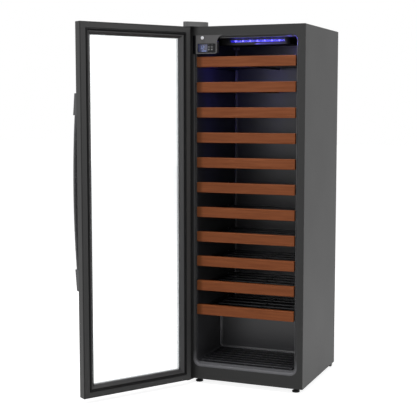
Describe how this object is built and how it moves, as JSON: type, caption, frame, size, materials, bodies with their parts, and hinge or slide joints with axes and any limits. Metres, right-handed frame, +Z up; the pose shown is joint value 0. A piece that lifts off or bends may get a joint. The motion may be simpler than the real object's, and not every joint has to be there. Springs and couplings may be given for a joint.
{
  "type": "wine cooler",
  "caption": "Tall free-standing wine cooler with a hinged glass door, wood-fronted sliding shelves, a lit interior and a rear machine bay.",
  "frame": {"origin": "on the floor, midway between the centres of the two front levelling feet", "axes": "+Z up, -Y towards the front, +X to the right as seen from the front"},
  "size_m": [0.9634, 1.1094, 1.775],
  "materials": {
    "black_sheet": "fine satin black paint",
    "black_plastic": "matte black",
    "dark_liner": "satin dark grey",
    "panel_plastic": "satin grey",
    "foam": "rigid foam",
    "galvanised": "zinc-coated steel sheet",
    "aluminium_fin": "bare",
    "compressor_black": "black enamel",
    "evaporator_sheet": "bare roll-bonded sheet",
    "lens": "clear diffusing plastic",
    "display": "tinted display window",
    "beech": "oiled, reddish brown",
    "deck_black": "satin black",
    "rail_black": "satin black",
    "steel": "bright",
    "gasket_rubber": "matte dark grey",
    "clear_glass": "clear",
    "handle_black": "satin dark metal finish",
    "white_plastic": "gloss white",
    "key_plastic": "satin grey",
    "foot_plastic": "matte black"
  },
  "bodies": {
    "cabinet": {"outer_shell": "black_sheet", "front_frame": "black_sheet", "liner_lip": "dark_liner", "inner_liner": "dark_liner", "insulation_foam": "foam", "back_panel": "galvanised", "base_tray": "galvanised", "compressor": "compressor_black", "condenser": "aluminium_fin", "fan_shroud": "black_plastic", "evaporator": "evaporator_sheet", "light_housing": "dark_liner", "light_lens": "lens", "control_housing": "panel_plastic", "display_lens": "display", "shelf_rails": "rail_black", "rail_screws": "steel", "floor_rack": "deck_black", "top_hinge_bracket": "black_sheet", "top_hinge_cover": "panel_plastic", "bottom_hinge_bracket": "black_sheet", "power_inlet": "black_plastic"},
    "door": {"door_frame": "black_sheet", "door_inner_trim": "black_plastic", "door_gasket": "gasket_rubber", "glass_panes": "clear_glass", "door_handle": "handle_black"},
    "shelf_01": {"shelf_01_front": "beech", "shelf_01_deck": "deck_black"},
    "shelf_02": {"shelf_02_front": "beech", "shelf_02_deck": "deck_black"},
    "shelf_03": {"shelf_03_front": "beech", "shelf_03_deck": "deck_black"},
    "shelf_04": {"shelf_04_front": "beech", "shelf_04_deck": "deck_black"},
    "shelf_05": {"shelf_05_front": "beech", "shelf_05_deck": "deck_black"},
    "shelf_06": {"shelf_06_front": "beech", "shelf_06_deck": "deck_black"},
    "shelf_07": {"shelf_07_front": "beech", "shelf_07_deck": "deck_black"},
    "shelf_08": {"shelf_08_front": "beech", "shelf_08_deck": "deck_black"},
    "shelf_09": {"shelf_09_front": "beech", "shelf_09_deck": "deck_black"},
    "shelf_10": {"shelf_10_front": "beech", "shelf_10_deck": "deck_black"},
    "shelf_11": {"shelf_11_front": "beech", "shelf_11_deck": "deck_black"},
    "control_key_1": {"control_key_1": "key_plastic"},
    "control_key_2": {"control_key_2": "key_plastic"},
    "control_key_3": {"control_key_3": "key_plastic"},
    "control_key_4": {"control_key_4": "key_plastic"},
    "door_switch": {"door_switch": "white_plastic"},
    "front_foot_left": {"front_foot_left": "foot_plastic"},
    "front_foot_right": {"front_foot_right": "foot_plastic"},
    "rear_roller_left": {"rear_roller_left": "foot_plastic"},
    "rear_roller_right": {"rear_roller_right": "foot_plastic"},
    "circulation_fan": {"circulation_fan": "black_plastic"},
    "condenser_fan": {"condenser_fan": "black_plastic"}
  },
  "joints": [
    {"name": "door_hinge", "type": "hinge", "parent": "cabinet", "child": "door", "pos_m": [-0.2875, -0.073, 0.9], "axis": [0, 0, 1], "range_deg": [-7, 123]},
    {"name": "shelf_01_slide", "type": "slide", "parent": "cabinet", "child": "shelf_01", "axis": [0, 1, 0], "range_m": [-0.28, 0]},
    {"name": "shelf_02_slide", "type": "slide", "parent": "cabinet", "child": "shelf_02", "axis": [0, 1, 0], "range_m": [-0.28, 0]},
    {"name": "shelf_03_slide", "type": "slide", "parent": "cabinet", "child": "shelf_03", "axis": [0, 1, 0], "range_m": [-0.28, 0]},
    {"name": "shelf_04_slide", "type": "slide", "parent": "cabinet", "child": "shelf_04", "axis": [0, 1, 0], "range_m": [-0.28, 0]},
    {"name": "shelf_05_slide", "type": "slide", "parent": "cabinet", "child": "shelf_05", "axis": [0, 1, 0], "range_m": [-0.28, 0]},
    {"name": "shelf_06_slide", "type": "slide", "parent": "cabinet", "child": "shelf_06", "axis": [0, 1, 0], "range_m": [-0.28, 0]},
    {"name": "shelf_07_slide", "type": "slide", "parent": "cabinet", "child": "shelf_07", "axis": [0, 1, 0], "range_m": [-0.28, 0]},
    {"name": "shelf_08_slide", "type": "slide", "parent": "cabinet", "child": "shelf_08", "axis": [0, 1, 0], "range_m": [-0.28, 0]},
    {"name": "shelf_09_slide", "type": "slide", "parent": "cabinet", "child": "shelf_09", "axis": [0, 1, 0], "range_m": [-0.28, 0]},
    {"name": "shelf_10_slide", "type": "slide", "parent": "cabinet", "child": "shelf_10", "axis": [0, 1, 0], "range_m": [-0.28, 0]},
    {"name": "shelf_11_slide", "type": "slide", "parent": "cabinet", "child": "shelf_11", "axis": [0, 1, 0], "range_m": [-0.28, 0]},
    {"name": "control_key_1_press", "type": "slide", "parent": "cabinet", "child": "control_key_1", "axis": [0, 1, 0], "range_m": [0, 0.001], "stiffness_N_per_m": 400},
    {"name": "control_key_2_press", "type": "slide", "parent": "cabinet", "child": "control_key_2", "axis": [0, 1, 0], "range_m": [0, 0.001], "stiffness_N_per_m": 400},
    {"name": "control_key_3_press", "type": "slide", "parent": "cabinet", "child": "control_key_3", "axis": [0, 1, 0], "range_m": [0, 0.001], "stiffness_N_per_m": 400},
    {"name": "control_key_4_press", "type": "slide", "parent": "cabinet", "child": "control_key_4", "axis": [0, 1, 0], "range_m": [0, 0.001], "stiffness_N_per_m": 400},
    {"name": "door_switch_press", "type": "slide", "parent": "cabinet", "child": "door_switch", "axis": [0, 1, 0], "range_m": [0, 0.004], "stiffness_N_per_m": 300},
    {"name": "front_foot_left_turn", "type": "hinge", "parent": "cabinet", "child": "front_foot_left", "pos_m": [-0.2525, 0, 0.02], "axis": [0, 0, 1], "continuous": true},
    {"name": "front_foot_right_turn", "type": "hinge", "parent": "cabinet", "child": "front_foot_right", "pos_m": [0.2525, 0, 0.02], "axis": [0, 0, 1], "continuous": true},
    {"name": "rear_roller_left_roll", "type": "hinge", "parent": "cabinet", "child": "rear_roller_left", "pos_m": [-0.2815, 0.518, 0.013], "axis": [1, 0, 0], "continuous": true},
    {"name": "rear_roller_right_roll", "type": "hinge", "parent": "cabinet", "child": "rear_roller_right", "pos_m": [0.2815, 0.518, 0.013], "axis": [1, 0, 0], "continuous": true},
    {"name": "circulation_fan_spin", "type": "hinge", "parent": "cabinet", "child": "circulation_fan", "pos_m": [0, 0.167, 1.671], "axis": [0, 0, 1], "continuous": true},
    {"name": "condenser_fan_spin", "type": "hinge", "parent": "cabinet", "child": "condenser_fan", "pos_m": [-0.05, 0.429, 0.1002], "axis": [1, 0, 0], "continuous": true}
  ]
}
